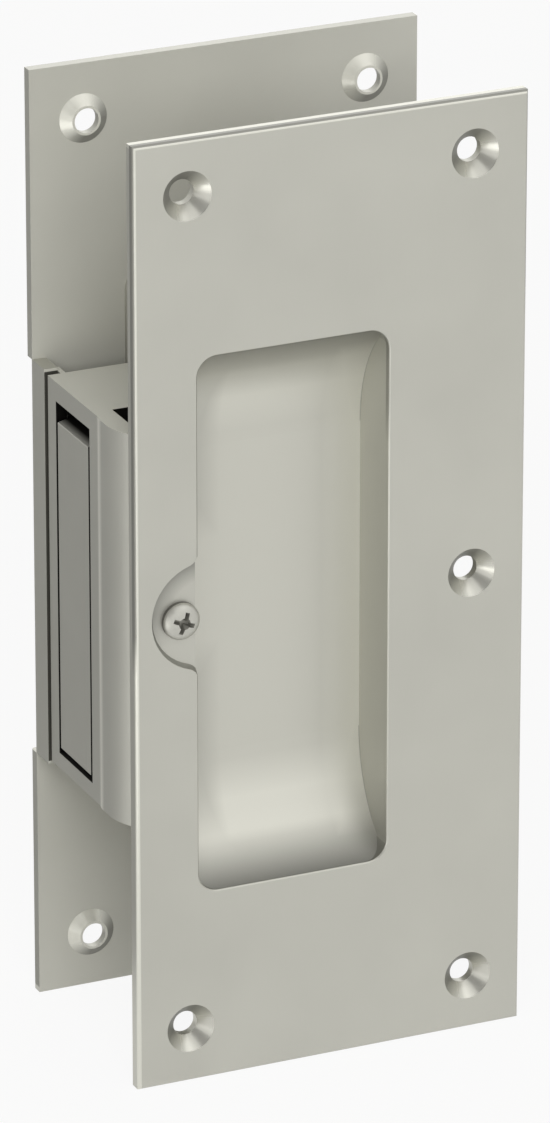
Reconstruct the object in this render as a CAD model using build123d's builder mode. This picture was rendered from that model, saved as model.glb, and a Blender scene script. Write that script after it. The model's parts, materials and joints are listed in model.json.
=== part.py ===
"""Pocket door pull set: two pull plates that clamp a sliding door, and an edge case with a swinging pull.

X runs from the door's edge (-X) into the door, and Y from the front plate (-Y) to the rear plate (+Y).
Z is up, and the origin is the middle of the whole set.
"""

import os
from math import atan2, cos, radians, sin, sqrt, tan

from build123d import *

os.makedirs("parts", exist_ok=True)

# Door and plates
door_thickness = 40.0
plate_width = 69.85
plate_height = 165.1
plate_thickness = 2.4
plate_edge_round = 0.6

# Screw holes: formed countersinks with a raised cone on the back of the plate
hole_inset = 9.525
hole_diameter = 4.25
sink_diameter = 8.5
sink_angle = 82.0
cone_height = 1.5
cone_tip_wall = 0.4

# Finger cup: flat floor, scooped ends, straight sides
cup_width = 34.1
cup_height = 94.0
cup_drop = 1.8
cup_depth = 11.2
cup_wall = 1.2
cup_corner = 3.5
rim_land = 0.4
rim_break = 0.2
scoop_radius = 23.8
front_cup_margin = 11.1
rear_cup_case_gap = 1.175
rear_cup_hole_margin = 8.35

# Shallow shelf for the lug screw beside the front cup, the plain well on the rear plate, and their bosses
lug_radius = 9.5
lug_reach = 8.2
lug_height = 0.5
lug_depth = 1.2
lug_slope = 27.0
lug_neck_round = 2.2
well_radius = 4.8
boss_radius = 3.2
rear_boss_rise = 1.5

# Lug screws
screw_inset = 8.35
screw_height = -0.05
screw_diameter = 3.5
screw_hole_gap = 0.25
thread_gap = 0.03
screw_end_gap = 0.5
head_diameter = 6.4
head_height = 2.2
head_rim = 1.0
head_top_diameter = 4.6
cross_width = 0.9
cross_span = 4.2
cross_depth = 1.2
cross_taper = 8.0
cross_turn = -20.0

# Tab bent from the rear plate along the door's edge
tab_reach = 7.5
tab_height = 70.6
tab_bend = 2.8

# Case at the door's edge
case_height = 69.0
case_drop = 2.95
case_rear = 14.1
face_setback = 0.3
face_wall = 2.0
end_wall = 2.4
back_wall = 1.3
cheek_wall = 1.5
cover_gap = 0.05
lip_edge = -6.6
lip_crown = 1.9
lip_wall = 2.0
lip_straight = 3.9
lip_radius = 10.8
lip_gap = 3.5
ledge_width = 3.7
tongue_gap = 0.2
tongue_wall = 0.9
tongue_reach = 2.9

# Opening for the edge pull
opening_rear = 10.8
opening_width = 14.1
opening_height = 62.8
opening_top_margin = 3.4

# Edge pull
pull_side_gap = 0.65
pull_top_gap = 3.5
pull_bottom_gap = 1.1
pull_thickness = 3.4
pull_bevel = 13.5
pull_edge_round = 0.15
pivot_behind_pull = 3.6
pivot_below_top = 10.4
ear_radius = 4.2
ear_thickness = 2.4
ear_spread = 10.8

# Pins, washers and spring
pin_radius = 2.0
running_gap = 0.05
rivet_rim = 0.3
rivet_head_height = 0.7
rivet_gap = 0.02
washer_radius = 3.3
washer_play = 0.1
stop_radius = 1.5
stop_gap = 0.25
stop_back_gap = 0.3
rest_stop_height = 7.8
open_stop_lift = 7.1
spring_wire = 0.8
spring_turns = 2.5
spring_pitch = 0.95
spring_leg = 7.5
spring_gap = 0.05

# Pillars between the case and the plates
pillar_radius = 3.2
spigot_radius = 2.4
spigot_gap = 0.02

# Planes and places that several pieces share
inner_face = door_thickness / 2
outer_face = inner_face + plate_thickness
edge_x = -plate_width / 2
front_cup_left = edge_x + front_cup_margin
hole_x = plate_width / 2 - hole_inset
hole_z = plate_height / 2 - hole_inset
screw_x = edge_x + screw_inset
screw_hole_radius = screw_diameter / 2 + screw_hole_gap
lug_seat = outer_face - lug_depth
cup_back = outer_face - cup_depth - cup_wall
rear_boss_back = inner_face - rear_boss_rise

case_bottom = -case_drop - case_height / 2
case_top = case_bottom + case_height
face_x = edge_x + face_setback
face_inner_x = face_x + face_wall
opening_front = opening_rear - opening_width
opening_middle = opening_rear - opening_width / 2
opening_top = case_top - opening_top_margin
opening_bottom = opening_top - opening_height
cheek_front = opening_front - cheek_wall
cover_rear = opening_rear + cheek_wall

pull_top = opening_top - pull_top_gap
pull_bottom = opening_bottom + pull_bottom_gap
pull_front = opening_front + pull_side_gap
pull_width = opening_width - 2 * pull_side_gap
pull_back_x = face_x + pull_thickness
pivot_x = pull_back_x + pivot_behind_pull
pivot_z = pull_top - pivot_below_top
ear_front = opening_middle - ear_spread / 2
ear_rear = opening_middle + ear_spread / 2
rest_stop_x = pull_back_x + stop_gap + stop_radius
rest_stop_z = pull_bottom + rest_stop_height
spring_radius = pivot_behind_pull - spring_gap - spring_wire / 2
open_stop_x = pivot_x + spring_radius + spring_wire / 2 + spring_gap + stop_radius
open_stop_z = pivot_z + open_stop_lift
case_back_x = open_stop_x + stop_radius + stop_back_gap + back_wall
rear_cup_left = case_back_x + rear_cup_case_gap + cup_wall
rear_cup_width = hole_x - rear_cup_hole_margin - rear_cup_left


def facing(y):
    """A drawing plane at depth y, with X to the right and Z up. Extruding by -h goes towards +Y."""
    return Plane.XZ.offset(-y)


def cup_form(left, width, growth, mouth):
    """The finger cup's inside, or its outside when grown by the wall, from its mouth's depth to its floor."""
    rim = -outer_face + rim_land
    reach = scoop_radius - cup_depth + rim_land
    half_floor = cup_height / 2 - sqrt(scoop_radius**2 - reach**2)
    arc_radius = scoop_radius + growth
    arc_rise = sqrt(arc_radius**2 - reach**2)
    half_rim = half_floor + arc_rise
    floor = -outer_face + cup_depth + growth
    half_turn = atan2(arc_rise, reach) / 2
    arc_depth = floor - arc_radius + arc_radius * cos(half_turn)
    arc_height = half_floor + arc_radius * sin(half_turn)
    front = min(mouth, -outer_face)
    with BuildPart() as form:
        with BuildSketch(Plane.YZ.offset(left - growth)):
            with BuildLine():
                Line((floor, -cup_drop - half_floor), (floor, -cup_drop + half_floor))
                ThreePointArc(
                    (floor, -cup_drop + half_floor),
                    (arc_depth, -cup_drop + arc_height),
                    (rim, -cup_drop + half_rim),
                )
                Polyline(
                    (rim, -cup_drop + half_rim),
                    (front, -cup_drop + half_rim),
                    (front, -cup_drop - half_rim),
                    (rim, -cup_drop - half_rim),
                )
                ThreePointArc(
                    (rim, -cup_drop - half_rim),
                    (arc_depth, -cup_drop - arc_height),
                    (floor, -cup_drop - half_floor),
                )
            make_face()
        extrude(amount=width + 2 * growth)
        with BuildSketch(facing(mouth)):
            with Locations((left + width / 2, -cup_drop)):
                RectangleRounded(width + 2 * growth, 2 * half_rim, cup_corner + growth)
        extrude(amount=mouth - floor, mode=Mode.INTERSECT)
    return form.part


def lug_form():
    """The front shelf's recess: a round lobe with sloped walls that runs into the cup's side."""
    with BuildPart() as form:
        with BuildSketch(facing(-outer_face)) as outline:
            with Locations((front_cup_left + lug_radius - lug_reach, lug_height)):
                Circle(lug_radius)
            with Locations((front_cup_left, lug_height)):
                Rectangle(lug_radius, 4 * lug_radius, align=(Align.MIN, Align.CENTER))
            necks = outline.vertices().sort_by_distance((front_cup_left, lug_height))[:2]
            fillet(necks, lug_neck_round)
        extrude(amount=-lug_depth, taper=lug_slope)
    return form.part


def round_form(radius, start, end):
    """A round boss or well about the lug screw's axis, between two depths."""
    with BuildPart() as form:
        with BuildSketch(facing(start)):
            with Locations((screw_x, screw_height)):
                Circle(radius)
        extrude(amount=start - end)
    return form.part


def bent_tab():
    """The strip at the door's edge, bent back from the sheet that faces -Y."""
    tab_end = -outer_face + tab_reach
    bend_turn = (edge_x + tab_bend, -outer_face + tab_bend)
    with BuildPart() as strip:
        with BuildSketch(Plane.XY.offset(-case_drop - tab_height / 2)):
            with BuildLine():
                CenterArc(bend_turn, tab_bend, 180, 90)
                Polyline(
                    (edge_x + tab_bend, -outer_face),
                    (edge_x + tab_bend + plate_thickness, -outer_face),
                    (edge_x + tab_bend + plate_thickness, -inner_face),
                    (edge_x + plate_thickness, -inner_face),
                    (edge_x + plate_thickness, tab_end),
                    (edge_x, tab_end),
                    (edge_x, -outer_face + tab_bend),
                )
            make_face()
        extrude(amount=tab_height)
    return strip.part


def pull_plate(cup_left, width, bosses, voids, tab):
    """A pull plate that faces -Y: pressed sheet with its cup, screw shelf and formed countersinks."""
    mid_sheet = -outer_face + plate_thickness / 2
    in_front = -outer_face - plate_thickness
    holes = [(hole_x * sx, hole_z * sz) for sx in (-1, 1) for sz in (-1, 1)] + [(hole_x, 0)]
    with BuildPart() as plate:
        with BuildSketch(facing(-outer_face)):
            Rectangle(plate_width, plate_height)
        extrude(amount=-plate_thickness)
        fillet(plate.faces().sort_by(Axis.Y)[0].edges(), plate_edge_round)
        if tab:
            with BuildSketch(facing(-outer_face)):
                with Locations((edge_x, -case_drop)):
                    Rectangle(tab_bend, tab_height, align=(Align.MIN, Align.CENTER))
            extrude(amount=-plate_thickness, mode=Mode.SUBTRACT)
            add(bent_tab())
        with Locations(*[Location((x, -inner_face, z), (-90, 0, 0)) for x, z in holes]):
            Cone(
                sink_diameter / 2,
                hole_diameter / 2 + cone_tip_wall,
                cone_height,
                align=(Align.CENTER, Align.CENTER, Align.MIN),
            )
        add(cup_form(cup_left, width, cup_wall, mid_sheet))
        for boss in bosses:
            add(boss)
        add(cup_form(cup_left, width, 0, in_front), mode=Mode.SUBTRACT)
        cup_rim = plate.faces().sort_by(Axis.Y)[0].inner_wires()[0]
        chamfer(cup_rim.edges(), rim_break)
        for void in voids:
            add(void, mode=Mode.SUBTRACT)
        with Locations(*[facing(-outer_face) * Location((x, z, 0)) for x, z in holes]):
            CounterSinkHole(hole_diameter / 2, sink_diameter / 2, counter_sink_angle=sink_angle)
    return plate.part


def riveted_pin(x, z, radius):
    """A cross pin through the case's cheeks: flush in the front one, with its head outside the cover."""
    steps = [
        (radius, cheek_front, cover_rear),
        (radius + rivet_rim, cover_rear, cover_rear + rivet_head_height),
    ]
    with BuildPart() as pin:
        for step_radius, start, end in steps:
            with BuildSketch(facing(start)):
                with Locations((x, z)):
                    Circle(step_radius)
            extrude(amount=start - end)
    return pin.part


def lug_screw(length):
    """A pan head cross-recess screw, head up, with the seat of its head at the origin."""
    with BuildPart() as screw:
        with BuildSketch(Plane.XZ):
            with BuildLine():
                Polyline(
                    (0, -length),
                    (screw_diameter / 2, -length),
                    (screw_diameter / 2, 0),
                    (head_diameter / 2, 0),
                    (head_diameter / 2, head_rim),
                    (head_top_diameter / 2, head_height),
                    (0, head_height),
                    close=True,
                )
            make_face()
        revolve(axis=Axis.Z)
        with BuildSketch(Plane.XY.offset(head_height)):
            Rectangle(cross_span, cross_width, rotation=cross_turn)
            Rectangle(cross_width, cross_span, rotation=cross_turn)
        extrude(amount=-cross_depth, taper=cross_taper, mode=Mode.SUBTRACT)
    return screw.part


def pillar(start, end, spigot_end):
    """A tapped pillar from a plate to the case, with a spigot through the cheek."""
    with BuildPart() as post:
        with BuildSketch(facing(min(start, end))):
            with Locations((screw_x, screw_height)):
                Circle(pillar_radius)
        extrude(amount=-abs(end - start))
        with BuildSketch(facing(min(end, spigot_end))):
            with Locations((screw_x, screw_height)):
                Circle(spigot_radius)
        extrude(amount=-abs(spigot_end - end))
        with BuildSketch(facing(min(start, spigot_end))):
            with Locations((screw_x, screw_height)):
                Circle(screw_diameter / 2 + thread_gap)
        extrude(amount=-abs(spigot_end - start), mode=Mode.SUBTRACT)
    return post.part


# Front plate, with the shelf that runs into its cup
with BuildPart() as front_plate:
    add(
        pull_plate(
            front_cup_left,
            cup_width,
            [round_form(boss_radius, -lug_seat, -cup_back)],
            [lug_form(), round_form(screw_hole_radius, -outer_face, 0)],
            tab=False,
        )
    )
front_plate.part.label = "front_plate"
export_step(front_plate.part, "parts/front_plate.step")

# Rear plate, turned to face the other way, with its cup behind the case and a plain well for its screw
with BuildPart() as rear_plate:
    add(
        pull_plate(
            rear_cup_left,
            rear_cup_width,
            [round_form(boss_radius, -lug_seat, -rear_boss_back)],
            [
                round_form(well_radius, -outer_face - plate_thickness, -lug_seat),
                round_form(screw_hole_radius, -outer_face, 0),
            ],
            tab=True,
        )
    )
    mirror(about=Plane.XZ, mode=Mode.REPLACE)
rear_plate.part.label = "rear_plate"
export_step(rear_plate.part, "parts/rear_plate.step")

# Case body: edge face, rounded front lip, front cheek, back wall, rear tongue and the two end walls
lip_bend = lip_edge - lip_straight
lip_end = -inner_face + lip_gap
lip_centre_x = edge_x + lip_radius
lip_inner_radius = lip_radius - lip_wall
lip_crown_radius = (lip_crown**2 + face_setback**2) / (2 * face_setback)
lip_crown_sag = lip_crown_radius - sqrt(lip_crown_radius**2 - (lip_crown / 2) ** 2)
lip_crown_middle = (edge_x + lip_crown_sag, lip_edge - lip_crown / 2)


def lip_point(radius, y):
    """A point of the lip's bend at depth y, on the given radius."""
    return (lip_centre_x - sqrt(radius**2 - (lip_bend - y) ** 2), y)


def lip_line():
    """The lip's outer line from the edge face to its hidden end: a crown, a straight run and the bend."""
    with BuildLine() as line:
        ThreePointArc((face_x, lip_edge), lip_crown_middle, (edge_x, lip_edge - lip_crown))
        Line((edge_x, lip_edge - lip_crown), (edge_x, lip_bend))
        ThreePointArc(
            (edge_x, lip_bend),
            lip_point(lip_radius, (lip_bend + lip_end) / 2),
            lip_point(lip_radius, lip_end),
        )
    return line.line


with BuildPart() as case_body:
    with BuildSketch(Plane.XY.offset(case_bottom)):
        with Locations((face_x, lip_edge)):
            Rectangle(face_wall, case_rear - lip_edge, align=(Align.MIN, Align.MIN))
        with Locations((face_x, cheek_front)):
            Rectangle(case_back_x - face_x, cheek_wall, align=(Align.MIN, Align.MIN))
        with Locations((case_back_x, cheek_front)):
            Rectangle(back_wall, opening_rear - cheek_front, align=(Align.MAX, Align.MIN))
        with BuildLine():
            add(lip_line())
            Line(lip_point(lip_radius, lip_end), lip_point(lip_inner_radius, lip_end))
            ThreePointArc(
                lip_point(lip_inner_radius, lip_end),
                lip_point(lip_inner_radius, (lip_bend + lip_end) / 2),
                (edge_x + lip_wall, lip_bend),
            )
            Polyline(
                (edge_x + lip_wall, lip_bend),
                (edge_x + lip_wall, lip_edge),
                (face_x, lip_edge),
            )
        make_face()
        tongue_x = edge_x + plate_thickness + tongue_gap
        with Locations((face_x, cover_rear)):
            Rectangle(tongue_x + tongue_wall - face_x, case_rear - cover_rear, align=(Align.MIN, Align.MIN))
        with Locations((tongue_x, cover_rear)):
            Rectangle(tongue_wall, case_rear + tongue_reach - cover_rear, align=(Align.MIN, Align.MIN))
    extrude(amount=case_height)
    for wall_bottom in (case_bottom, case_top - end_wall):
        with BuildSketch(Plane.XY.offset(wall_bottom)):
            with Locations((face_x, cheek_front)):
                Rectangle(case_back_x - face_x, case_rear - cheek_front, align=(Align.MIN, Align.MIN))
            with BuildLine():
                add(lip_line())
                Polyline(
                    lip_point(lip_radius, lip_end),
                    (edge_x + ledge_width, lip_end),
                    (edge_x + ledge_width, cheek_front),
                    (face_x, cheek_front),
                    (face_x, lip_edge),
                )
            make_face()
        extrude(amount=end_wall)
    with BuildSketch(facing(opening_front)):
        with Locations((face_x - face_setback, opening_bottom)):
            Rectangle(face_wall + 2 * face_setback, opening_height, align=(Align.MIN, Align.MIN))
    extrude(amount=-opening_width, mode=Mode.SUBTRACT)
    with BuildSketch(facing(cheek_front)):
        with Locations((pivot_x, pivot_z)):
            Circle(pin_radius + rivet_gap)
        with Locations((rest_stop_x, rest_stop_z), (open_stop_x, open_stop_z)):
            Circle(stop_radius + rivet_gap)
        with Locations((screw_x, screw_height)):
            Circle(spigot_radius + spigot_gap)
    extrude(amount=-cheek_wall, mode=Mode.SUBTRACT)
case_body.part.label = "case_body"
export_step(case_body.part, "parts/case_body.step")

# Case cover: the rear cheek, held by the riveted pins
with BuildPart() as case_cover:
    with BuildSketch(facing(opening_rear)):
        with Locations((face_inner_x + cover_gap, -case_drop)):
            Rectangle(
                case_back_x - face_inner_x - cover_gap,
                case_height - 2 * (end_wall + cover_gap),
                align=(Align.MIN, Align.CENTER),
            )
        with Locations((pivot_x, pivot_z)):
            Circle(pin_radius + rivet_gap, mode=Mode.SUBTRACT)
        with Locations((rest_stop_x, rest_stop_z), (open_stop_x, open_stop_z)):
            Circle(stop_radius + rivet_gap, mode=Mode.SUBTRACT)
        with Locations((screw_x, screw_height)):
            Circle(spigot_radius + spigot_gap, mode=Mode.SUBTRACT)
    extrude(amount=-cheek_wall)
case_cover.part.label = "case_cover"
export_step(case_cover.part, "parts/case_cover.step")

# Edge pull: a flat bar with a bevelled top, and two ears behind it that turn on the pin
with BuildPart() as edge_pull:
    bevel_rise = pull_thickness * tan(radians(pull_bevel))
    with BuildSketch(facing(pull_front)):
        with BuildLine():
            Polyline(
                (face_x, pull_bottom),
                (pull_back_x, pull_bottom),
                (pull_back_x, pull_top + bevel_rise),
                (face_x, pull_top),
                close=True,
            )
        make_face()
    extrude(amount=-pull_width)
    fillet(edge_pull.faces().sort_by(Axis.X)[0].edges(), pull_edge_round)
    for ear_start in (ear_front, ear_rear - ear_thickness):
        with BuildSketch(facing(ear_start)):
            with Locations((pivot_x, pivot_z)):
                Circle(ear_radius)
                Rectangle(pivot_behind_pull, 2 * ear_radius, align=(Align.MAX, Align.CENTER))
        extrude(amount=-ear_thickness)
    with BuildSketch(facing(ear_front)):
        with Locations((pivot_x, pivot_z)):
            Circle(pin_radius + running_gap)
    extrude(amount=-ear_spread, mode=Mode.SUBTRACT)
edge_pull.part.label = "edge_pull"
export_step(edge_pull.part, "parts/edge_pull.step")

# Cross pins
with BuildPart() as pull_pin:
    add(riveted_pin(pivot_x, pivot_z, pin_radius))
pull_pin.part.label = "pull_pin"
export_step(pull_pin.part, "parts/pull_pin.step")

with BuildPart() as rest_stop_pin:
    add(riveted_pin(rest_stop_x, rest_stop_z, stop_radius))
rest_stop_pin.part.label = "rest_stop_pin"
export_step(rest_stop_pin.part, "parts/rest_stop_pin.step")

with BuildPart() as open_stop_pin:
    add(riveted_pin(open_stop_x, open_stop_z, stop_radius))
open_stop_pin.part.label = "open_stop_pin"
export_step(open_stop_pin.part, "parts/open_stop_pin.step")

# Washers that centre the ears between the cheeks
for name, start, end in (
    ("pull_washer_front", opening_front, ear_front),
    ("pull_washer_rear", ear_rear, opening_rear),
):
    with BuildPart() as pull_washer:
        with BuildSketch(facing(start + washer_play)):
            with Locations((pivot_x, pivot_z)):
                Circle(washer_radius)
                Circle(pin_radius + running_gap, mode=Mode.SUBTRACT)
        extrude(amount=start - end + 2 * washer_play)
    pull_washer.part.label = name
    export_step(pull_washer.part, f"parts/{name}.step")

# Torsion spring round the pin: one leg lies along the pull's back, the other against the upper stop
with BuildPart() as pull_spring:
    with BuildLine() as coil:
        Helix(spring_pitch, spring_pitch * spring_turns, spring_radius, lefthand=True)
    with BuildSketch(Plane(origin=coil.line @ 0, x_dir=(1, 0, 0), z_dir=coil.line % 0)):
        Rectangle(spring_wire, spring_wire)
    sweep(path=coil.line, is_frenet=True)
    with BuildSketch(Plane(origin=coil.line @ 0, x_dir=(1, 0, 0), z_dir=-(coil.line % 0))):
        Rectangle(spring_wire, spring_wire)
    extrude(amount=spring_leg)
    with BuildSketch(Plane(origin=coil.line @ 1, x_dir=(1, 0, 0), z_dir=coil.line % 1)):
        Rectangle(spring_wire, spring_wire)
    extrude(amount=spring_leg)
spring_start = opening_middle - spring_pitch * spring_turns / 2
spring_seat = Plane(origin=(pivot_x, spring_start, pivot_z), x_dir=(-1, 0, 0), z_dir=(0, 1, 0))
pull_spring.part = pull_spring.part.moved(spring_seat.location)
pull_spring.part.label = "pull_spring"
export_step(pull_spring.part, "parts/pull_spring.step")

# Tapped pillars that carry the plates
with BuildPart() as front_pillar:
    add(pillar(-cup_back, cheek_front, opening_front))
front_pillar.part.label = "front_pillar"
export_step(front_pillar.part, "parts/front_pillar.step")

with BuildPart() as rear_pillar:
    add(pillar(rear_boss_back, cover_rear, opening_rear))
rear_pillar.part.label = "rear_pillar"
export_step(rear_pillar.part, "parts/rear_pillar.step")

# Lug screws: the front one reaches through the boss into its pillar, the rear one through the well's floor
for name, seat, thread_end, towards in (
    ("front_lug_screw", -lug_seat, cheek_front, 1),
    ("rear_lug_screw", lug_seat, cover_rear, -1),
):
    with BuildPart() as screw:
        add(lug_screw(abs(thread_end - seat) - screw_end_gap))
    seat_plane = Plane(origin=(screw_x, seat, screw_height), x_dir=(1, 0, 0), z_dir=(0, -towards, 0))
    screw.part = screw.part.moved(seat_plane.location)
    screw.part.label = name
    export_step(screw.part, f"parts/{name}.step")
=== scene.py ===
import json
from math import cos, pi, radians, sin

import bpy
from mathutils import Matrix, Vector


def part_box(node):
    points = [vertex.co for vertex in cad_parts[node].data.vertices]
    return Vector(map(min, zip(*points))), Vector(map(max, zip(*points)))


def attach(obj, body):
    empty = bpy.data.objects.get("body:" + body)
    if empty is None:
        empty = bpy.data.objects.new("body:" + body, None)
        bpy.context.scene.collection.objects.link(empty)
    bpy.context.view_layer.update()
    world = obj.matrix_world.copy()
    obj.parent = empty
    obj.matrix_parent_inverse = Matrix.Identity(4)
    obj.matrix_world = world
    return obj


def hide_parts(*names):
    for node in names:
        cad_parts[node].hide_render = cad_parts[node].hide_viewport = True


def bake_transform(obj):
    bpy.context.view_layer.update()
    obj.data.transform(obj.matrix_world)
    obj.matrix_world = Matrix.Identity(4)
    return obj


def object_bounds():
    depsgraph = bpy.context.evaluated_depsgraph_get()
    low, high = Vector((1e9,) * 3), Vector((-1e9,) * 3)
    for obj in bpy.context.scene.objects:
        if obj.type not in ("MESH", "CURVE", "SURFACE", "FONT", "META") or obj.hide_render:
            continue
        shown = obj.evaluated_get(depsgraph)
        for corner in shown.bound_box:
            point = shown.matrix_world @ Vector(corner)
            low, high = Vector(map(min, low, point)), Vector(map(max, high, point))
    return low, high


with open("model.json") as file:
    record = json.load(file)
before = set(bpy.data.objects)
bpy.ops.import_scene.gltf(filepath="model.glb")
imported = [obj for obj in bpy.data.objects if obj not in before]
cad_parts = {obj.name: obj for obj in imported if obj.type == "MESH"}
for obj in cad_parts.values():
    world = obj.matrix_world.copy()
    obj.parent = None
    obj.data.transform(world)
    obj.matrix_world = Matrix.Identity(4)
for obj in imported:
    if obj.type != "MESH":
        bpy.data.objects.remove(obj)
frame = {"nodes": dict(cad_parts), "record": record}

cad_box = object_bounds()


# Case body: a zinc casting that fills the notch in the door's edge, with the edge face, a rounded lip
# and end walls. It is satin nickel plated outside.
# Its inside is painted near black as shade.
nickel_tone = (0.535, 0.53, 0.475)
# Painted shade: a near black for the case's inside, the pull's hidden faces and the cover's inner face.
painted_shade_tone = (0.012, 0.011, 0.01, 1)
# Painted highlight for the lip's rear edge.
lip_highlight_tone = (0.86, 0.85, 0.77, 1)
# Painted shade for the countersinks' walls that look away from the upper left.
sink_shade_tone = (0.27, 0.267, 0.24, 1)
# Painted light: a lighter tone for the case's top face.
case_top_light_tone = (0.65, 0.644, 0.577, 1)
hard_edge = (0.00001, 0.00001, 0.00001)


def new_finish(name):
    """A new material, its node tree, its shader and the node that gives places and normals."""
    material = bpy.data.materials.new(name)
    material.use_nodes = True
    tree = material.node_tree
    surface = tree.nodes.new("ShaderNodeTexCoord")
    return material, tree, tree.nodes["Principled BSDF"], surface


def feed(tree, socket, value):
    """Fixes a node's input, or links it where the value is another node's output."""
    if isinstance(value, bpy.types.NodeSocket):
        tree.links.new(value, socket)
    else:
        socket.default_value = value


def number_step(tree, operation, first, second):
    """One step of arithmetic on two numbers."""
    step = tree.nodes.new("ShaderNodeMath")
    step.operation = operation
    feed(tree, step.inputs[0], first)
    feed(tree, step.inputs[1], second)
    return step.outputs[0]


def vector_step(tree, operation, first, second=(0, 0, 0)):
    """One step of arithmetic on places or directions. A dot product or a length gives a number."""
    step = tree.nodes.new("ShaderNodeVectorMath")
    step.operation = operation
    feed(tree, step.inputs[0], first)
    feed(tree, step.inputs[1], second)
    return step.outputs["Value" if operation in ("DOT_PRODUCT", "LENGTH") else "Vector"]


def split_place(tree, place):
    """The X, Y and Z of a place."""
    split = tree.nodes.new("ShaderNodeSeparateXYZ")
    tree.links.new(place, split.inputs["Vector"])
    return split.outputs["X"], split.outputs["Y"], split.outputs["Z"]


def graded(tree, value, start=0.0, end=1.0, low=0.0, high=1.0):
    """A number that goes from low to high while a value goes from start to end."""
    grade = tree.nodes.new("ShaderNodeMapRange")
    grade.inputs["From Min"].default_value = start
    grade.inputs["From Max"].default_value = end
    grade.inputs["To Min"].default_value = low
    grade.inputs["To Max"].default_value = high
    tree.links.new(value, grade.inputs["Value"])
    return grade.outputs["Result"]


def laid_over(tree, share, under, over, kind="RGBA"):
    """One tone laid over another by a share, or one number where the kind is FLOAT."""
    mix = tree.nodes.new("ShaderNodeMix")
    mix.data_type = kind
    feed(tree, mix.inputs["Factor"], share)
    feed(tree, mix.inputs["A"], under)
    feed(tree, mix.inputs["B"], over)
    return mix.outputs["Result"]


def two_tones(tree, share, tones, stops=(0.0, 1.0)):
    """A colour between two tones, which a share reaches at two stops."""
    ramp = tree.nodes.new("ShaderNodeValToRGB")
    for element, tone, stop in zip(ramp.color_ramp.elements, tones, stops):
        element.position = stop
        element.color = (*tone, 1)
    tree.links.new(share, ramp.inputs["Fac"])
    return ramp.outputs["Color"]


def grain(tree, place, scale=1.0, detail=2.0, stretch=None):
    """Noise on the piece at one scale, or at a scale of its own along X, Y and Z."""
    if stretch:
        along = tree.nodes.new("ShaderNodeMapping")
        along.inputs["Scale"].default_value = stretch
        tree.links.new(place, along.inputs["Vector"])
        place = along.outputs["Vector"]
    noise = tree.nodes.new("ShaderNodeTexNoise")
    noise.inputs["Scale"].default_value = scale
    noise.inputs["Detail"].default_value = detail
    tree.links.new(place, noise.inputs["Vector"])
    return noise.outputs["Fac"]


def raise_grain(tree, shader, height, strength, depth):
    """Makes a grain stand up from the surface."""
    bump = tree.nodes.new("ShaderNodeBump")
    bump.inputs["Strength"].default_value = strength
    bump.inputs["Distance"].default_value = depth
    tree.links.new(height, bump.inputs["Height"])
    tree.links.new(bump.outputs["Normal"], shader.inputs["Normal"])


def from_axis(tree, place, centre):
    """How far a place is from the line along Y through a centre."""
    shift = vector_step(tree, "SUBTRACT", place, centre)
    return vector_step(tree, "LENGTH", vector_step(tree, "MULTIPLY", shift, (1, 0, 1)))


def within_box(tree, place, low, high, fade):
    """1 inside a box and 0 outside it, fading in from its X, Y and Z sides."""
    low, high = Vector(low), Vector(high)
    spread = vector_step(tree, "ABSOLUTE", vector_step(tree, "SUBTRACT", place, (low + high) / 2))
    beyond = vector_step(tree, "SUBTRACT", spread, (high - low) / 2)
    across, through, along = split_place(tree, vector_step(tree, "DIVIDE", beyond, fade))
    widest = number_step(tree, "MAXIMUM", number_step(tree, "MAXIMUM", across, through), along)
    return graded(tree, widest, start=0.0, end=-1.0)


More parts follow.
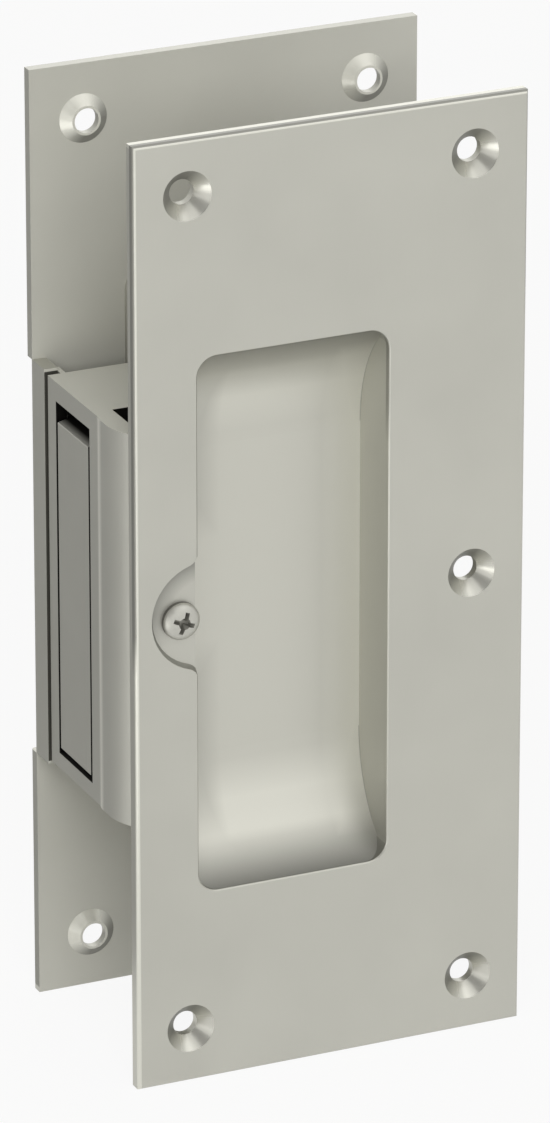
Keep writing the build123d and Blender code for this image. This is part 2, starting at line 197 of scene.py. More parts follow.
def satin_nickel(
    name, spots, matt_facing=None, sinks=(), sink_side=-1, sink_lit_tone=None, shelf=None
):
    """Satin nickel plate: a warm grey metal with a faint grain rubbed along Z and slow changes of tone.

    Each spot is a box's lowest and highest corner, how far in from its X, Y and Z sides it fades, and
    its tone; the spots are painted light and shade. Faces that look in the matt facing are left
    unrubbed. The sinks are the centres of formed countersinks, seen from the rubbed side (-1) or as
    cones on the matt side (1). Their walls that look up and to the left are smoother and painted
    lighter in the sink lit tone as a highlight, and those that look the other way are rougher and
    painted darker as shade. The shelf is a round one's centre, inner and outer radius, least and
    greatest Y, and the tone of the painted shade at its upper left.
    """
    rubbed_metallic, matt_metallic = 0.72, 0.1
    matt_start, matt_full = 0.6, 0.8
    cloud_scale = 45.0
    cloud_stops = (0.3, 0.7)
    cloud_shares = (0.97, 1.03)
    cloud_tones = [[c * share for c in nickel_tone] for share in cloud_shares]
    rub_stretch, rub_detail = (9000, 9000, 350), 3.0
    rub_strength, rub_depth = 0.2, 0.00002
    smoothest, roughest = 0.38, 0.48

    material, tree, shader, surface = new_finish(name)
    place, normal = surface.outputs["Object"], surface.outputs["Normal"]
    shader.inputs["Metallic"].default_value = rubbed_metallic
    if matt_facing:
        facing = vector_step(tree, "DOT_PRODUCT", normal, matt_facing)
        metallic = graded(tree, facing, matt_start, matt_full, rubbed_metallic, matt_metallic)
        tree.links.new(metallic, shader.inputs["Metallic"])
    rub = grain(tree, place, detail=rub_detail, stretch=rub_stretch)
    roughness = graded(tree, rub, low=smoothest, high=roughest)
    colour = two_tones(tree, grain(tree, place, cloud_scale), cloud_tones, cloud_stops)
    # The spots lay painted light and shade over the nickel.
    for low, high, fade, tone in spots:
        colour = laid_over(tree, within_box(tree, place, low, high, fade), colour, tone)
    if shelf:
        centre, inner, outer, least, greatest, shelf_tone = shelf
        up_left = (-0.6, 0, 0.8)
        shift = vector_step(tree, "SUBTRACT", place, centre)
        slant = vector_step(tree, "DOT_PRODUCT", shift, up_left)
        depth = split_place(tree, place)[1]
        shade = graded(tree, from_axis(tree, place, centre), inner, outer)
        for share in (
            graded(tree, slant, end=inner),
            number_step(tree, "GREATER_THAN", depth, least),
            number_step(tree, "LESS_THAN", depth, greatest),
        ):
            shade = number_step(tree, "MULTIPLY", shade, share)
        colour = laid_over(tree, shade, colour, shelf_tone)
    if sinks:
        sink_radius = 0.0042
        least_outward = 0.2
        lit_polish_start, lit_polish_full = 0.15, 0.7
        dull_roughness, polished_roughness = 0.45, 0.25
        sink_facing = sink_side * Vector(matt_facing)
        lit_polished_facing = Vector((-0.55, 0, 0.55)) + 0.62 * sink_facing
        sink_look = vector_step(tree, "DOT_PRODUCT", normal, sink_facing)
        outward = number_step(tree, "GREATER_THAN", sink_look, least_outward)
        lit_polish_look = vector_step(tree, "DOT_PRODUCT", normal, lit_polished_facing)
        lit_polish = graded(tree, lit_polish_look, lit_polish_start, lit_polish_full)
        # Painted light and shade on the countersinks' walls: the lit tone where they look up and to the
        # left, a darker tone where they look away.
        sink_light_and_shade = laid_over(tree, lit_polish, sink_shade_tone, sink_lit_tone)
        sink_roughness = graded(tree, lit_polish, low=dull_roughness, high=polished_roughness)
        for sink in sinks:
            inside = number_step(tree, "LESS_THAN", from_axis(tree, place, sink), sink_radius)
            cut = number_step(tree, "MULTIPLY", inside, outward)
            colour = laid_over(tree, cut, colour, sink_light_and_shade)
            roughness = laid_over(tree, cut, roughness, sink_roughness, "FLOAT")
    tree.links.new(colour, shader.inputs["Base Color"])
    tree.links.new(roughness, shader.inputs["Roughness"])
    raise_grain(tree, shader, rub, rub_strength, rub_depth)
    return material


def finish_node(node, material):
    """Gives a solid of the frame its finish."""
    frame["nodes"][node].data.materials.clear()
    frame["nodes"][node].data.materials.append(material)


case_low, case_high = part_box("case_body")
cover_low, cover_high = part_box("case_cover")
pull_low, pull_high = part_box("edge_pull")
face_step = 0.0003
spot_margin = 0.00002
pull_side_room = 0.0008
# Painted shade: the case's inside is painted near black.
cavity = (
    (pull_low.x + spot_margin, pull_low.y - pull_side_room, cover_low.z),
    (case_high.x - face_step, pull_high.y + pull_side_room, cover_high.z),
    hard_edge,
    painted_shade_tone,
)
# Painted highlight: a light band where the lip's crown meets the edge face.
lip_rear_edge = -0.0065
lip_crown = 0.0024
lip_highlight_depth = 2 * face_step
lip_highlight = (
    (case_low.x - face_step, lip_rear_edge - lip_crown, case_low.z - face_step),
    (case_low.x + lip_highlight_depth, lip_rear_edge + face_step, case_high.z + face_step),
    (face_step / 2, lip_crown / 2, face_step / 2),
    lip_highlight_tone,
)
ledge_width = 0.00375
front_cheek = -0.0048
# Painted shade: the pocket behind the lip is painted near black.
lip_pocket = (
    (case_low.x + ledge_width, case_low.y - face_step, case_low.z - face_step),
    (case_high.x + face_step, front_cheek + spot_margin, case_high.z - spot_margin),
    hard_edge,
    painted_shade_tone,
)
# Painted light: the case's top face is painted lighter.
case_top = (
    (case_low.x - face_step, case_low.y - face_step, case_high.z - spot_margin),
    (case_high.x + face_step, case_high.y + face_step, case_high.z + face_step),
    hard_edge,
    case_top_light_tone,
)
case_spots = [lip_highlight, case_top, lip_pocket, cavity]
finish_node("case_body", satin_nickel("case_nickel", case_spots, matt_facing=(0, 0, 1)))


# Cross pins: turned steel, flush in the front cheek and headed outside the cover.
# The pull turns on the thick one, and the two thin ones stop it.
def uneven_metal(tree, shader, pattern, tone, tone_shares, roughness):
    """Gives metal a tone and a roughness that both follow a pattern."""
    roughness_swing = 0.06
    tones = [[min(1, c * share) for c in tone] for share in tone_shares]
    dull = graded(tree, pattern, low=roughness - roughness_swing, high=roughness + roughness_swing)
    tree.links.new(two_tones(tree, pattern, tones), shader.inputs["Base Color"])
    tree.links.new(dull, shader.inputs["Roughness"])


def turned_metal(name, tone, roughness):
    """Bare turned metal: fine rings of lighter and darker tone across the Y axis."""
    ring_stretch = (200, 14000, 200)
    ring_tone_shares = (0.85, 1.1)
    ring_strength, ring_depth = 0.3, 0.00003
    material, tree, shader, surface = new_finish(name)
    shader.inputs["Metallic"].default_value = 1.0
    rings = grain(tree, surface.outputs["Object"], stretch=ring_stretch)
    uneven_metal(tree, shader, rings, tone, ring_tone_shares, roughness)
    raise_grain(tree, shader, rings, ring_strength, ring_depth)
    return material


pin_tone = (0.42, 0.42, 0.41)
pin_roughness = 0.36
turned_steel = turned_metal("turned_steel", pin_tone, pin_roughness)
for node in ("pull_pin", "rest_stop_pin", "open_stop_pin"):
    finish_node(node, turned_steel)

# Washers: natural nylon, punched from sheet.
# They fill the room between the pull's ears and the two cheeks, so that the pull stays in the middle.
nylon_tones = ((0.66, 0.64, 0.57), (0.76, 0.74, 0.68))
nylon_cloud_scale = 900.0
washer_nylon, nylon_tree, nylon_shader, nylon_surface = new_finish("washer_nylon")
nylon_shader.inputs["Roughness"].default_value = 0.5
nylon_shader.inputs["Subsurface Weight"].default_value = 0.15
nylon_shader.inputs["Subsurface Scale"].default_value = 0.0005
nylon_cloud = grain(nylon_tree, nylon_surface.outputs["Object"], nylon_cloud_scale)
nylon_colour = two_tones(nylon_tree, nylon_cloud, nylon_tones)
nylon_tree.links.new(nylon_colour, nylon_shader.inputs["Base Color"])
for node in ("pull_washer_front", "pull_washer_rear"):
    finish_node(node, washer_nylon)

# Torsion spring: round drawn wire, coiled left-handed round the thick pin.
# One straight leg lies along the pull's back.
# The other lies against the upper stop.
spring_wire = 0.0008
spring_turns = 2.5
spring_pitch = 0.00095
spring_radius = 0.00315
spring_leg = 0.0075
leg_spread = spring_leg * spring_pitch / (2 * pi * spring_radius)
wire_sides = 12
steps_per_turn = 40
wire_seam = 0.000005
wire_smooth_angle = radians(40)
wire_tone = (0.36, 0.36, 0.37)
wire_roughness = 0.32
pivot = Vector(frame["record"]["behaviour"]["joints"][0]["pos_m"])
spring_low, spring_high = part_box("pull_spring")
coil_length = spring_pitch * spring_turns
coil_start = (spring_low.y + spring_high.y - coil_length) / 2
bpy.ops.object.select_all(action="DESELECT")
bpy.ops.mesh.primitive_circle_add(
    vertices=wire_sides,
    radius=spring_wire / 2,
    location=(-spring_radius, 0, 0),
    rotation=(pi / 2, 0, 0),
)
spring = bpy.context.object
spring.name = "torsion_spring"
bpy.ops.object.transform_apply(location=True, rotation=True, scale=True)
wind = spring.modifiers.new("wind", "SCREW")
wind.axis = "Z"
wind.angle = -2 * pi * spring_turns
wind.screw_offset = coil_length
wind.steps = int(steps_per_turn * spring_turns)
wind.render_steps = wind.steps
bpy.ops.object.modifier_apply(modifier="wind")
bpy.ops.object.mode_set(mode="EDIT")
bpy.ops.mesh.select_mode(type="EDGE")
for end_x, spread in ((-spring_radius, -leg_spread), (spring_radius, leg_spread)):
    bpy.ops.mesh.select_all(action="DESELECT")
    bpy.ops.mesh.select_non_manifold()
    bpy.ops.object.mode_set(mode="OBJECT")
    for edge in spring.data.edges:
        middle = sum((spring.data.vertices[v].co for v in edge.vertices), Vector()) / 2
        at_end = abs(middle.x - end_x) < spring_wire and abs(middle.y) < spring_wire
        edge.select = edge.select and at_end
    bpy.ops.object.mode_set(mode="EDIT")
    bpy.ops.mesh.extrude_region_move(TRANSFORM_OT_translate={"value": (0, -spring_leg, spread)})
    bpy.ops.mesh.edge_face_add()
bpy.ops.mesh.select_all(action="SELECT")
bpy.ops.mesh.remove_doubles(threshold=wire_seam)
bpy.ops.mesh.normals_make_consistent(inside=False)
bpy.ops.object.mode_set(mode="OBJECT")
spring.rotation_euler = (-pi / 2, 0, 0)
spring.location = (pivot.x, coil_start, pivot.z)
bpy.ops.object.transform_apply(location=True, rotation=True, scale=True)
bpy.ops.object.shade_smooth_by_angle(angle=wire_smooth_angle)
spring.data.materials.append(turned_metal("drawn_wire", wire_tone, wire_roughness))
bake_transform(spring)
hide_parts("pull_spring")

# Edge pull: a flat bar that lies flush in the case's opening and swings out when its top is pressed in.
# It is a casting in the same satin nickel.
# Its sides and back, which run in the case, are painted near black as shade.
side_skin = 0.00005
front_edge_skin = 0.0002
unshaded_depth = 0.0011
# Painted shade: the bar's back, beyond a short depth from its face, and its two sides are painted near
# black.
bar_back = (
    (pull_low.x + unshaded_depth / 2, pull_low.y - side_skin, pull_low.z - side_skin),
    (pull_high.x + unshaded_depth, pull_high.y + side_skin, pull_high.z + side_skin),
    (unshaded_depth, side_skin, side_skin),
    painted_shade_tone,
)
bar_sides = [
    (
        (pull_low.x + spot_margin, near, pull_low.z - side_skin),
        (pull_high.x + side_skin, far, pull_high.z + side_skin),
        hard_edge,
        painted_shade_tone,
    )
    for near, far in (
        (pull_low.y - side_skin, pull_low.y + front_edge_skin),
        (pull_high.y - side_skin, pull_high.y + side_skin),
    )
]
finish_node("edge_pull", satin_nickel("pull_nickel", [bar_back, *bar_sides]))

# Case cover: the case's rear cheek, a flat plate that the pins' heads hold.
# It is plated outside, and its inner face is painted near black as shade, like the rest of the case's
# inside.
cover_inside = (
    (cover_low.x - face_step, cover_low.y - face_step, cover_low.z - face_step),
    (cover_high.x + face_step, cover_low.y + spot_margin, cover_high.z + face_step),
    hard_edge,
    painted_shade_tone,
)
finish_node("case_cover", satin_nickel("cover_nickel", [cover_inside]))

# Pillars: turned brass, tapped right through, with a spigot pressed into each cheek of the case.
# The lug screws draw the two plates against the door on them.
brass_tone = (0.6, 0.44, 0.19)
brass_roughness = 0.3
pillar_brass = turned_metal("pillar_brass", brass_tone, brass_roughness)
for node in ("front_pillar", "rear_pillar"):
    finish_node(node, pillar_brass)

# Front and rear plates: pressed sheet, with the finger cup, screw shelf and countersinks formed in it.
# They are rubbed to a satin and nickel plated.
# Wood screws in the countersinks hold them to the door's faces.
# Painted light: a lighter tone for the cup's inside, also the lit tone of the front countersinks.
cup_light_tone = (0.6, 0.594, 0.532, 1)
# Painted shade at the cup's upper and lower ends.
top_end_shade_tone = (0.34, 0.337, 0.303, 1)
low_end_shade_tone = (0.23, 0.228, 0.205, 1)
# Painted highlight across the cup's two shoulders.
shoulder_highlight_tone = (0.7, 0.693, 0.621, 1)
# Painted shade on the cup's floor along its left wall.
left_strip_shade_tone = (0.525, 0.52, 0.466, 1)
# Painted light on the cup's floor beside its right wall.
floor_strip_light_tone = (0.8, 0.792, 0.71, 1)
# Painted shade: a darker tone for the cup's right wall.
right_wall_shade_tone = (0.5, 0.496, 0.444, 1)
# Painted shade: a darker tone for the screw shelf's wall.
shelf_wall_shade_tone = (0.33, 0.327, 0.293, 1)
shelf_shade_tone = (0.3, 0.297, 0.266, 1)
# Painted highlight for the plate's edges, also the lit tone of the rear plate's cones.
edge_highlight_tone = (0.72, 0.713, 0.639, 1)
# Painted shade: near black for the rear plate's tab end.
tab_end_shade_tone = (0.05, 0.048, 0.04, 1)
plate_low, plate_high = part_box("front_plate")
front_face = plate_low.y

cup_left, cup_right = -0.02383, 0.01028
cup_bottom, cup_top = -0.0488, 0.0452
cup_depth = 0.0112
cup_reach = 0.092
rim_depth = 0.00025
floor_skin = 0.0001
wall_skin = 0.00012
end_reach = 0.0065
shoulder_rise = 0.0115
cup_front = front_face + rim_depth
cup_back = front_face + cup_depth + floor_skin
# The cup is painted lighter inside, with painted shade at its two ends and painted highlights across
# its shoulders.
cup_bands = [
    (
        (cup_left, cup_front, middle - reach),
        (cup_right, cup_back, middle + reach),
        (wall_skin, floor_skin, end_reach),
        tone,
    )
    for middle, reach, tone in (
        (0, cup_reach, cup_light_tone),
        (cup_top, end_reach, top_end_shade_tone),
        (cup_bottom, end_reach, low_end_shade_tone),
        (cup_top - shoulder_rise, end_reach, shoulder_highlight_tone),
        (cup_bottom + shoulder_rise, end_reach, shoulder_highlight_tone),
    )
]
strip_width = 0.007
strip_rise = 0.0045
strip_front = front_face + strip_rise
strip_back = front_face + 2 * cup_depth
strip_fade = cup_depth - strip_rise
left_reach = 0.0088
left_fade = 0.0035
shelf_room = 0.009
# Painted shade: the cup's floor is darker along its left wall, above and below the shelf.
left_strips = [
    (
        (cup_left - strip_width, strip_front, low),
        (cup_left + left_reach, strip_back, high),
        (left_fade, strip_fade, shoulder_rise / 2),
        left_strip_shade_tone,
    )
    for low, high in ((shelf_room, cup_top), (cup_bottom, -shelf_room))
]
# Painted light: the cup's floor is lighter beside its right wall.
floor_strip = (
    (cup_right - strip_width, strip_front, cup_bottom),
    (cup_right + strip_width, strip_back, cup_top),
    (strip_width, strip_fade, 2 * shoulder_rise),
    floor_strip_light_tone,
)
# Painted shade: the cup's right wall is darker.
right_wall = (
    (cup_right - wall_skin, cup_front, cup_bottom),
    (cup_right + wall_skin, cup_back - floor_skin, cup_top),
    hard_edge,
    right_wall_shade_tone,
)

shelf_depth = 0.0012
shelf_width = 0.0085
shelf_bottom, shelf_top = -0.0125, 0.0135
shelf_edge_skin = 0.00008
shelf_floor_skin = 0.00004
shelf_centre = (-0.02253, 0, 0.0005)
shade_inner, shade_outer = 0.0058, 0.0089
shade_skin = 0.0001
# Painted shade: the screw shelf's wall is darker.
shelf_wall = (
    (cup_left - shelf_width, front_face + shelf_edge_skin, shelf_bottom),
    (cup_left, front_face + shelf_depth - shelf_floor_skin, shelf_top),
    hard_edge,
    shelf_wall_shade_tone,
)
shelf_shade = (
    shelf_centre,
    shade_inner,
    shade_outer,
    front_face + shade_skin,
    front_face + shelf_depth + shade_skin,
    shelf_shade_tone,
)

# Painted highlights along the front plate's left and top edges.
edge_round = 0.0006
left_edge = (
    (plate_low.x - face_step, front_face - face_step, plate_low.z - face_step),
    (plate_low.x + edge_round, front_face + edge_round, plate_high.z + face_step),
    hard_edge,
    edge_highlight_tone,
)
top_edge = (
    (plate_low.x - face_step, front_face - face_step, plate_high.z - edge_round),
    (plate_high.x + face_step, plate_high.y + face_step, plate_high.z + face_step),
    hard_edge,
    edge_highlight_tone,
)
hole_x, hole_z = 0.0254, 0.073025
screw_sinks = [
    (-hole_x, 0, hole_z),
    (hole_x, 0, hole_z),
    (hole_x, 0, 0),
    (-hole_x, 0, -hole_z),
    (hole_x, 0, -hole_z),
]
front_nickel = satin_nickel(
    "front_plate_nickel",
    [*cup_bands, *left_strips, floor_strip, right_wall, shelf_wall, left_edge, top_edge],
    matt_facing=(0, 1, 0),
    sinks=screw_sinks,
    sink_side=-1,
    sink_lit_tone=cup_light_tone,
    shelf=shelf_shade,
)
finish_node("front_plate", front_nickel)

# Painted shade: the rear plate's tab end, in the groove, is near black.
tab_end_inset = 0.00205
tab_end_width = 10 * face_step
tab_end_y = case_high.y - tab_end_inset
tab_end = (
    (case_low.x + spot_margin, tab_end_y - face_step, case_low.z - face_step),
    (case_low.x + tab_end_width, tab_end_y, case_high.z + face_step),
    hard_edge,
    tab_end_shade_tone,
)
rear_nickel = satin_nickel(
    "rear_plate_nickel",
    [tab_end],
    matt_facing=(0, -1, 0),
    sinks=screw_sinks,
    sink_side=1,
    sink_lit_tone=edge_highlight_tone,
)
finish_node("rear_plate", rear_nickel)

# Lug screws: nickelled steel pan heads, cold headed with a cross recess, with a rolled thread.
# The front one seats on the front plate's shelf, and the rear one in the rear plate's well.
head_radius = 0.0032
head_height = 0.0022
head_rim = 0.0007
head_sides = 48
dome_rings = 8
dome_turn = pi / 2 * 0.93
core_radius = 0.00142
tip_share = 0.7
thread_radius = 0.00174
thread_pitch = 0.0006
thread_runout = 0.0012
thread_steps = 24
thread_root = core_radius * 0.97
thread_flank = thread_pitch * 0.45
recess_span = 0.0044
recess_width = 0.00084
recess_centre = 0.00122
recess_point = recess_centre * 0.5
recess_depth = 0.0016
recess_foot = 0.62
recess_turn = radians(-20)
point_sides = 24
punch_proud = 0.0004
punch_length = recess_depth + punch_proud
punch_middle = (0, 0, head_height - recess_depth / 2 + punch_proud / 2)
seat_slack = 1e-7
sliver = 0.000003
screw_smooth_angle = radians(32)
screw_tone, screw_roughness = (0.52, 0.514, 0.464), 0.4
# Painted shade: a dark copy of the nickel for the head's rim.
rim_shade_tone, rim_roughness = (0.16, 0.155, 0.14), 0.4
# Painted shade: a darker copy of the nickel for the cross recess.
recess_shade_tone, recess_roughness = (0.32, 0.314, 0.28), 0.5


def nickelled_steel(name, tone, roughness):
    """Bright nickel on cold headed steel: a pale metal with small uneven patches of gloss."""
    patch_scale, patch_detail = 1800.0, 3.0
    patch_tone_shares = (0.9, 1.08)
    material, tree, shader, surface = new_finish(name)
    shader.inputs["Metallic"].default_value = 0.62
    patches = grain(tree, surface.outputs["Object"], patch_scale, patch_detail)
    uneven_metal(tree, shader, patches, tone, patch_tone_shares, roughness)
    return material


screw_nickel = nickelled_steel("screw_nickel", screw_tone, screw_roughness)
rim_shade_steel = nickelled_steel("rim_shade_steel", rim_shade_tone, rim_roughness)
recess_shade_steel = nickelled_steel("recess_shade_steel", recess_shade_tone, recess_roughness)


def extrude_ring(rise, scale, height):
    """Extrudes the selected ring along Z by a rise, then sizes it about the screw's axis."""
    bpy.ops.mesh.extrude_region_move(TRANSFORM_OT_translate={"value": (0, 0, rise)})
    bpy.ops.transform.resize(value=(scale, scale, 1), center_override=(0, 0, height))


def select_between(mesh, parts):
    """Selects each edge or face whose corners are all selected, and no other."""
    for part in parts:
        part.select = all(mesh.vertices[v].select for v in part.vertices)


def screw_blank(length):
    """The headed blank: a domed pan head on its seat at the origin, and a plain shank below it."""
    bpy.ops.object.select_all(action="DESELECT")
    bpy.ops.mesh.primitive_circle_add(vertices=head_sides, radius=head_radius)
    blank = bpy.context.object
    bpy.ops.object.mode_set(mode="EDIT")
    extrude_ring(head_rim, 1, head_rim)
    radius, height = head_radius, head_rim
    for ring in range(1, dome_rings + 1):
        turn = ring / dome_rings * dome_turn
        next_radius = head_radius * cos(turn)
        next_height = head_rim + (head_height - head_rim) * sin(turn) / sin(dome_turn)
        extrude_ring(next_height - height, next_radius / radius, next_height)
        radius, height = next_radius, next_height
    bpy.ops.mesh.edge_face_add()
    bpy.ops.mesh.select_all(action="DESELECT")
    bpy.ops.object.mode_set(mode="OBJECT")
    for vertex in blank.data.vertices:
        vertex.select = abs(vertex.co.z) < seat_slack
    select_between(blank.data, blank.data.edges)
    bpy.ops.object.mode_set(mode="EDIT")
    bpy.ops.mesh.select_mode(type="EDGE")
    tip = core_radius / 2
    extrude_ring(0, core_radius / head_radius, 0)
    extrude_ring(-length + tip, 1, -length + tip)
    extrude_ring(-tip, tip_share, -length)
    bpy.ops.mesh.edge_face_add()
    bpy.ops.mesh.select_all(action="SELECT")
    bpy.ops.mesh.normals_make_consistent(inside=False)
    bpy.ops.object.mode_set(mode="OBJECT")
    return blank


def cut_recess(blank):
    """Punches the cross recess into the head: two crossed tapered arms and a point between them."""
    bpy.ops.object.select_all(action="DESELECT")
    punches = []
    for turn in (0, pi / 2):
        bpy.ops.mesh.primitive_cube_add(size=1, location=punch_middle)
        arm = bpy.context.object
        arm.scale = (recess_span, recess_width, punch_length)
        arm.rotation_euler = (0, 0, recess_turn + turn)
        bpy.ops.object.transform_apply(location=True, rotation=True, scale=True)
        punches.append(arm)
    bpy.ops.mesh.primitive_cone_add(
        vertices=point_sides,
        radius1=recess_point,
        radius2=recess_centre,
        depth=punch_length,
        location=punch_middle,
    )
    bpy.ops.object.transform_apply(location=True, rotation=True, scale=True)
    punches.append(bpy.context.object)
    for punch in punches:
        bpy.ops.object.select_all(action="DESELECT")
        bpy.context.view_layer.objects.active = punch
        punch.select_set(True)
        for vertex in punch.data.vertices:
            vertex.select = vertex.co.z < head_height - recess_depth / 2
        select_between(punch.data, punch.data.edges)
        select_between(punch.data, punch.data.polygons)
        bpy.ops.object.mode_set(mode="EDIT")
        bpy.ops.transform.resize(value=(recess_foot, recess_foot, 1), center_override=(0, 0, 0))
        bpy.ops.object.mode_set(mode="OBJECT")
        # The recess's faces are painted darker as shade.
        punch.data.materials.append(recess_shade_steel)
        stamp = blank.modifiers.new("stamp", "BOOLEAN")
        stamp.object = punch
        stamp.operation = "DIFFERENCE"
        stamp.solver = "EXACT"
        stamp.material_mode = "TRANSFER"
        bpy.ops.object.select_all(action="DESELECT")
        blank.select_set(True)
        bpy.context.view_layer.objects.active = blank
        bpy.ops.object.modifier_apply(modifier="stamp")
        bpy.data.objects.remove(punch)
    bpy.ops.object.mode_set(mode="EDIT")
    bpy.ops.mesh.select_all(action="SELECT")
    bpy.ops.mesh.remove_doubles(threshold=sliver)
    bpy.ops.mesh.dissolve_degenerate(threshold=sliver)
    bpy.ops.object.mode_set(mode="OBJECT")


def rolled_thread(length):
    """The thread: a three-sided ridge wound along the shank, with closed ends."""
    bpy.ops.object.select_all(action="DESELECT")
    bpy.ops.mesh.primitive_circle_add(
        vertices=3, radius=thread_pitch / 2, rotation=(pi / 2, 0, 0)
    )
    thread = bpy.context.object
    bpy.ops.object.transform_apply(location=True, rotation=True, scale=True)
    corners = ((thread_root, 0, -thread_flank), (thread_radius, 0, 0), (thread_root, 0, thread_flank))
    for vertex, corner in zip(thread.data.vertices, corners):
        vertex.co = corner
        vertex.co.z -= length - thread_runout / 2
    turns = (length - thread_runout) / thread_pitch
    roll = thread.modifiers.new("roll", "SCREW")
    roll.axis = "Z"
    roll.angle = 2 * pi * turns
    roll.screw_offset = length - thread_runout
    roll.steps = int(thread_steps * turns)
    roll.render_steps = roll.steps
    bpy.ops.object.modifier_apply(modifier="roll")
    bpy.ops.object.mode_set(mode="EDIT")
    bpy.ops.mesh.select_all(action="DESELECT")
    bpy.ops.mesh.select_non_manifold()
    bpy.ops.mesh.fill_holes(sides=3)
    bpy.ops.mesh.select_all(action="SELECT")
    bpy.ops.mesh.normals_make_consistent(inside=False)
    bpy.ops.object.mode_set(mode="OBJECT")
    return thread


for node, outward in (("front_lug_screw", -1), ("rear_lug_screw", 1)):
    screw_low, screw_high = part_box(node)
    shank_length = screw_high.y - screw_low.y - head_height
    screw = screw_blank(shank_length)
    screw.name = node.replace("lug_screw", "pan_head_screw")
    screw.data.materials.append(screw_nickel)
    screw.data.materials.append(rim_shade_steel)
    # The head's rim is painted dark as shade.
    for face in screw.data.polygons:
        face.material_index = int(0 < face.center.z < head_rim)
    cut_recess(screw)
    thread = rolled_thread(shank_length)
    thread.data.materials.append(screw_nickel)
    bpy.ops.object.select_all(action="DESELECT")
    thread.select_set(True)
    screw.select_set(True)
    bpy.context.view_layer.objects.active = screw
    bpy.ops.object.join()
    seat_y = screw_low.y + head_height if outward < 0 else screw_high.y - head_height
    screw.rotation_euler = (pi / 2 * -outward, 0, 0)
    screw.location = (
        (screw_low.x + screw_high.x) / 2,
        seat_y,
        (screw_low.z + screw_high.z) / 2,
    )
    bpy.ops.object.transform_apply(location=True, rotation=True, scale=True)
    bpy.ops.object.shade_smooth_by_angle(angle=screw_smooth_angle)
    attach(screw, "lock")
    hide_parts(node)

# Camera: a long lens to the left of and above the set, as a catalogue view is taken.
# It aims a little below the middle of the plates, so that both ends have the same margin.
view_azimuth = radians(-24.3)
view_elevation = radians(21.9)
view_distance = 1.35
aim = Vector((0, 0, -0.002))
camera_data = bpy.data.cameras.new("catalogue_camera")
camera = bpy.data.objects.new("catalogue_camera", camera_data)
scene = bpy.context.scene
scene.collection.objects.link(camera)
towards_camera = Vector((
    sin(view_azimuth) * cos(view_elevation),
    -cos(view_azimuth) * cos(view_elevation),
    sin(view_elevation),
))
camera.location = aim + view_distance * towards_camera
camera.rotation_euler = (-towards_camera).to_track_quat("-Z", "Y").to_euler()
camera_data.sensor_fit = "AUTO"
camera_data.sensor_width = 36
camera_data.lens = 260.6
scene.camera = camera
scene.view_settings.view_transform = "Standard"


# Studio surroundings: white where the camera and the metal look, and a softer light on everything.
# The pale floor that the plates stand on glows a little in the same way, and keeps their shadow.
def seen_ray(tree):
    """1 for a ray from the camera, a reflection or a see-through surface, and otherwise 0."""
    path = tree.nodes.new("ShaderNodeLightPath")
    seen = number_step(tree, "MAXIMUM", path.outputs["Is Camera Ray"], path.outputs["Is Glossy Ray"])
    return number_step(tree, "MAXIMUM", seen, path.outputs["Is Transmission Ray"])


def show_two(tree, share, first, second, output):
    """Shows the second of two surfaces by a share, and the first by the rest."""
    mix = tree.nodes.new("ShaderNodeMixShader")
    tree.links.new(share, mix.inputs["Fac"])
    tree.links.new(first, mix.inputs[1])
    tree.links.new(second, mix.inputs[2])
    tree.links.new(mix.outputs["Shader"], tree.nodes[output].inputs["Surface"])


world = bpy.data.worlds.new("studio")
scene.world = world
world.use_nodes = True
sky = world.node_tree
surround = sky.nodes["Background"]
surround.inputs["Color"].default_value = (0.9, 0.9, 0.88, 1)
surround.inputs["Strength"].default_value = 0.45
white = sky.nodes.new("ShaderNodeBackground")
white.inputs["Color"].default_value = (1, 1, 1, 1)
white.inputs["Strength"].default_value = 1.0
show_two(
    sky,
    seen_ray(sky),
    surround.outputs["Background"],
    white.outputs["Background"],
    "World Output",
)

floor_gap = 0.0001
floor_width = 6
floor_glow = 0.9
floor_height = cad_box[0].z - floor_gap
bpy.ops.object.select_all(action="DESELECT")
bpy.ops.mesh.primitive_plane_add(size=floor_width, location=(0, 0, floor_height))
floor = bpy.context.object
floor.name = "floor"
floor_paint = bpy.data.materials.new("floor_paint")
floor_paint.use_nodes = True
floor_tree = floor_paint.node_tree
pale = floor_tree.nodes["Principled BSDF"]
pale.inputs["Base Color"].default_value = (0.85, 0.85, 0.84, 1)
pale.inputs["Roughness"].default_value = 0.8
glow = floor_tree.nodes.new("ShaderNodeEmission")
glow.inputs["Strength"].default_value = 1.0
glow_share = number_step(floor_tree, "MULTIPLY", seen_ray(floor_tree), floor_glow)
show_two(
    floor_tree,
    glow_share,
    pale.outputs["BSDF"],
    glow.outputs["Emission"],
    "Material Output",
)
floor.data.materials.append(floor_paint)


# Cards and lamps: grey and white cards that only the metal's reflections show, as a photographer sets
# them, and soft lamps that face the middle of the set.
def facing_middle(place):
    """The turn of a card or lamp at a place that faces the middle of the set."""
    return Vector(place).to_track_quat("Z", "Y").to_euler()


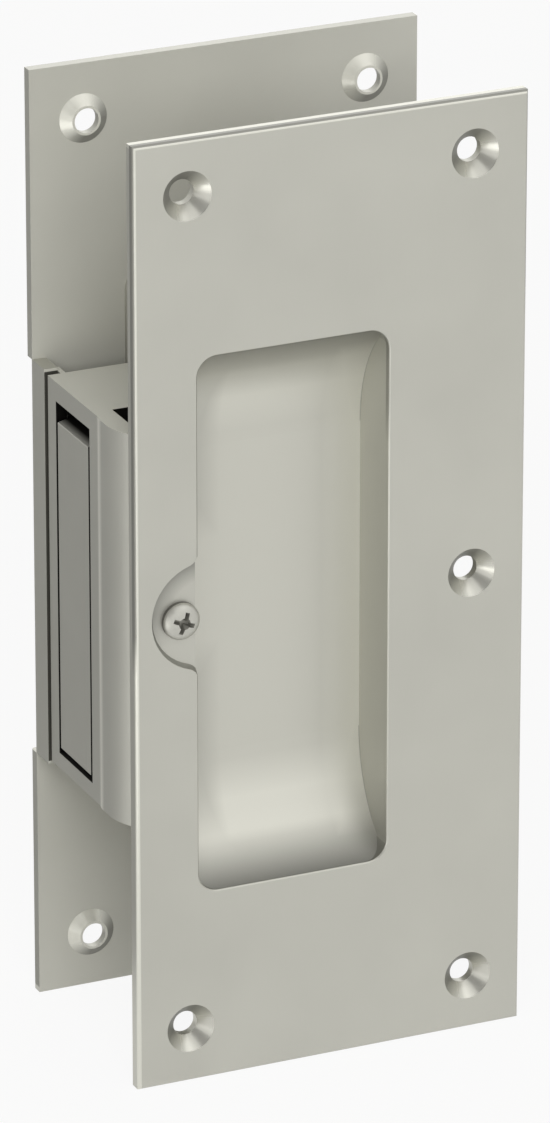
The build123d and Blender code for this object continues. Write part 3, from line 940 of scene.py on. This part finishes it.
def reflection_card(name, place, size, turn, brightness):
    """A card that shows in reflections alone."""
    bpy.ops.object.select_all(action="DESELECT")
    bpy.ops.mesh.primitive_plane_add(size=1, location=place, rotation=turn)
    card = bpy.context.object
    card.name = name
    card.scale = (*size, 1)
    paint = bpy.data.materials.new(name + "_paint")
    paint.use_nodes = True
    tree = paint.node_tree
    lit = tree.nodes.new("ShaderNodeEmission")
    lit.inputs["Color"].default_value = (brightness, brightness, brightness, 1)
    tree.links.new(lit.outputs["Emission"], tree.nodes["Material Output"].inputs["Surface"])
    card.data.materials.append(paint)
    card.visible_camera = False
    card.visible_diffuse = False
    card.visible_shadow = False
    card.visible_transmission = False


card_gap = 0.001
card_height = floor_height + card_gap
upper_place = (0.45, -0.66, 0.86)
left_place = (-0.6, -0.5, 0.56)
flat, upright, slanting = (0, 0, 0), (pi / 2, 0, 0), (0, 0, radians(-58))
for name, place, size, turn, brightness in (
    ("low_left_card", (-0.42, 0.42, card_height), (0.78, 0.8), flat, 0.35),
    ("far_left_card", (-0.42, 0.82, 0.12), (0.78, 0.42), upright, 0.35),
    ("front_left_card", (-0.32, -0.19, card_height), (0.16, 0.4), slanting, 2.4),
    ("front_upper_card", upper_place, (0.8, 0.8), facing_middle(upper_place), 1.6),
    ("upper_left_card", left_place, (0.7, 0.7), facing_middle(left_place), 0.25),
):
    reflection_card(name, place, size, turn, brightness)


def softbox(name, place, size, power, mirrored):
    """A square soft lamp that faces the middle of the set, with or without its image in the metal."""
    lamp_data = bpy.data.lights.new(name, "AREA")
    lamp_data.shape = "SQUARE"
    lamp_data.size = size
    lamp_data.energy = power
    lamp = bpy.data.objects.new(name, lamp_data)
    scene.collection.objects.link(lamp)
    lamp.location = place
    lamp.rotation_euler = facing_middle(place)
    lamp.visible_glossy = mirrored


softbox("key_lamp", (-0.45, -1.05, 0.6), size=0.8, power=9.5, mirrored=False)
softbox("rear_upper_lamp", (0.45, 1.0, 0.45), size=0.6, power=1.0, mirrored=True)
